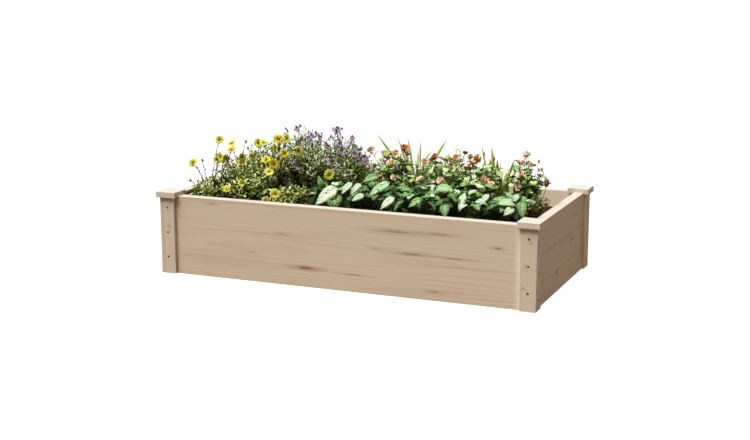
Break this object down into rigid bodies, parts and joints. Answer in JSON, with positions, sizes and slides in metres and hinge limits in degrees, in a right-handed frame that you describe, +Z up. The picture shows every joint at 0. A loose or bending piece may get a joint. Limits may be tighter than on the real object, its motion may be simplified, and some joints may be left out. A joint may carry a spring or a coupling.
{
  "type": "planted raised garden bed",
  "caption": "Long low wooden raised bed with capped corner posts, filled with soil and planted with daisies, asters, broad leaves, grasses and orange flowers.",
  "frame": {"origin": "middle of the footprint, on the ground", "axes": "+X along the bed's length, +Y from its front board to its rear board, +Z up"},
  "size_m": [1.217, 0.611, 0.44],
  "materials": {
    "pale_softwood": "planed bare fir, fine straight grain with a few brown knots",
    "zinc_steel": "dull zinc-plated countersunk screw",
    "dark_soil": "damp dark brown potting soil, crumbly",
    "daisy_green": "olive green foliage with yellow daisies",
    "aster_green": "fine grey-green foliage with mauve flowers",
    "broad_green": "broad green leaves with pale veins and pale undersides",
    "grass_green": "yellow-green strap leaves",
    "bloom_green": "rounded mid green leaves with orange double flowers"
  },
  "bodies": {
    "root": {"broad_leaf_1": "broad_green", "broad_leaf_2": "broad_green", "broad_leaf_3": "broad_green", "broad_leaf_4": "broad_green", "broad_leaf_5": "broad_green", "front_board": "pale_softwood", "front_left_cap": "pale_softwood", "front_left_end_screw_1": "zinc_steel", "front_left_end_screw_2": "zinc_steel", "front_left_end_screw_3": "zinc_steel", "front_left_post": "pale_softwood", "front_left_screw_1": "zinc_steel", "front_left_screw_2": "zinc_steel", "front_left_screw_3": "zinc_steel", "front_right_cap": "pale_softwood", "front_right_end_screw_1": "zinc_steel", "front_right_end_screw_2": "zinc_steel", "front_right_end_screw_3": "zinc_steel", "front_right_post": "pale_softwood", "front_right_screw_1": "zinc_steel", "front_right_screw_2": "zinc_steel", "front_right_screw_3": "zinc_steel", "left_board": "pale_softwood", "orange_bloom_1": "bloom_green", "orange_bloom_2": "bloom_green", "orange_bloom_3": "bloom_green", "orange_bloom_4": "bloom_green", "orange_bloom_5": "bloom_green", "purple_aster_1": "aster_green", "purple_aster_2": "aster_green", "purple_aster_3": "aster_green", "purple_aster_4": "aster_green", "purple_aster_5": "aster_green", "rear_board": "pale_softwood", "rear_left_cap": "pale_softwood", "rear_left_end_screw_1": "zinc_steel", "rear_left_end_screw_2": "zinc_steel", "rear_left_end_screw_3": "zinc_steel", "rear_left_post": "pale_softwood", "rear_left_screw_1": "zinc_steel", "rear_left_screw_2": "zinc_steel", "rear_left_screw_3": "zinc_steel", "rear_right_cap": "pale_softwood", "rear_right_end_screw_1": "zinc_steel", "rear_right_end_screw_2": "zinc_steel", "rear_right_end_screw_3": "zinc_steel", "rear_right_post": "pale_softwood", "rear_right_screw_1": "zinc_steel", "rear_right_screw_2": "zinc_steel", "rear_right_screw_3": "zinc_steel", "right_board": "pale_softwood", "soil": "dark_soil", "strap_grass_1": "grass_green", "strap_grass_2": "grass_green", "yellow_daisy_1": "daisy_green", "yellow_daisy_2": "daisy_green", "yellow_daisy_3": "daisy_green", "yellow_daisy_4": "daisy_green", "yellow_daisy_5": "daisy_green", "yellow_daisy_6": "daisy_green"}
  },
  "joints": []
}
